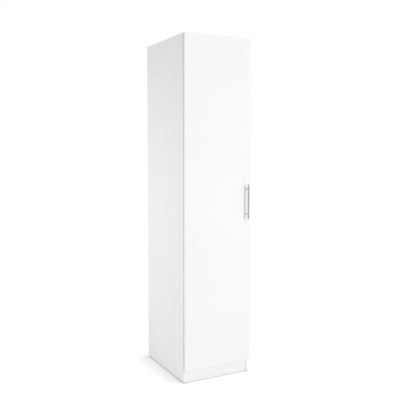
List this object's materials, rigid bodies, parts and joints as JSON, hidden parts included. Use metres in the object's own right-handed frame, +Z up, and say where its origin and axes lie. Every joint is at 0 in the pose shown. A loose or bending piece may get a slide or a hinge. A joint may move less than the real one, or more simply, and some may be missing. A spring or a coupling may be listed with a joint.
{
  "type": "wardrobe",
  "caption": "Tall narrow white wardrobe with a full-overlay hinged door, bar handle, hat shelf, oval clothes rail and plinth base.",
  "frame": {"origin": "on the floor, under the middle of the overall box", "axes": "+Z up, front and handle towards -Y, hinge side towards -X"},
  "size_m": [0.47, 0.612, 2.15],
  "materials": {
    "white_board": "white melamine-faced chipboard, fine satin texture, white edge band",
    "white_door": "smooth white faced board, satin, rounded edges",
    "hardboard": "hardboard sheet, white lacquer inside, brown fibre outside",
    "white_plastic": "white moulded plastic",
    "glide_plastic": "grey moulded polyethylene",
    "buffer_plastic": "soft translucent pad",
    "nail_steel": "bright steel wire nail",
    "zinc_fittings": "die-cast zinc",
    "beech_dowel": "grooved beech",
    "rail_chrome": "chromed steel tube",
    "socket_chrome": "chromed zinc casting",
    "zinc_plated_steel": "zinc-plated steel",
    "hinge_nickel": "nickel-plated steel",
    "handle_steel": "satin brushed steel",
    "magnet_ferrite": "ferrite magnet between steel poles"
  },
  "bodies": {
    "carcass": {"left_side_panel": "white_board", "right_side_panel": "white_board", "top_panel": "white_board", "bottom_panel": "white_board", "hat_shelf": "white_board", "plinth_board": "white_board", "back_panel_upper": "hardboard", "back_panel_lower": "hardboard", "back_joint_strip": "white_plastic", "cam_covers": "white_plastic", "catch_housing": "white_plastic", "floor_glides": "glide_plastic", "back_panel_nails": "nail_steel", "cam_bolts": "zinc_fittings", "cam_locks": "zinc_fittings", "wood_dowels": "beech_dowel", "hanging_rail": "rail_chrome", "rail_socket_left": "socket_chrome", "rail_socket_right": "socket_chrome", "wall_bracket": "zinc_plated_steel", "wall_bracket_screws": "zinc_plated_steel", "rail_socket_screws": "zinc_plated_steel", "catch_screws": "zinc_plated_steel", "hinge_plate_1": "hinge_nickel", "hinge_plate_2": "hinge_nickel", "hinge_plate_3": "hinge_nickel", "hinge_plate_4": "hinge_nickel", "hinge_arm_1": "hinge_nickel", "hinge_arm_2": "hinge_nickel", "hinge_arm_3": "hinge_nickel", "hinge_arm_4": "hinge_nickel", "hinge_plate_screws": "hinge_nickel", "hinge_arm_screws": "hinge_nickel", "catch_magnet": "magnet_ferrite"},
    "door": {"door_panel": "white_door", "hinge_cup_1": "hinge_nickel", "hinge_cup_2": "hinge_nickel", "hinge_cup_3": "hinge_nickel", "hinge_cup_4": "hinge_nickel", "hinge_pins": "hinge_nickel", "cup_screws": "hinge_nickel", "handle_bar": "handle_steel", "handle_post_upper": "handle_steel", "handle_post_lower": "handle_steel", "handle_screws": "zinc_plated_steel", "door_buffers": "buffer_plastic", "catch_strike": "zinc_plated_steel", "catch_strike_screws": "zinc_plated_steel"}
  },
  "joints": [
    {"name": "door_swing", "type": "hinge", "parent": "carcass", "child": "door", "pos_m": [-0.2265, -0.2665, 1.118], "axis": [0, 0, -1], "range_deg": [0, 95]}
  ]
}
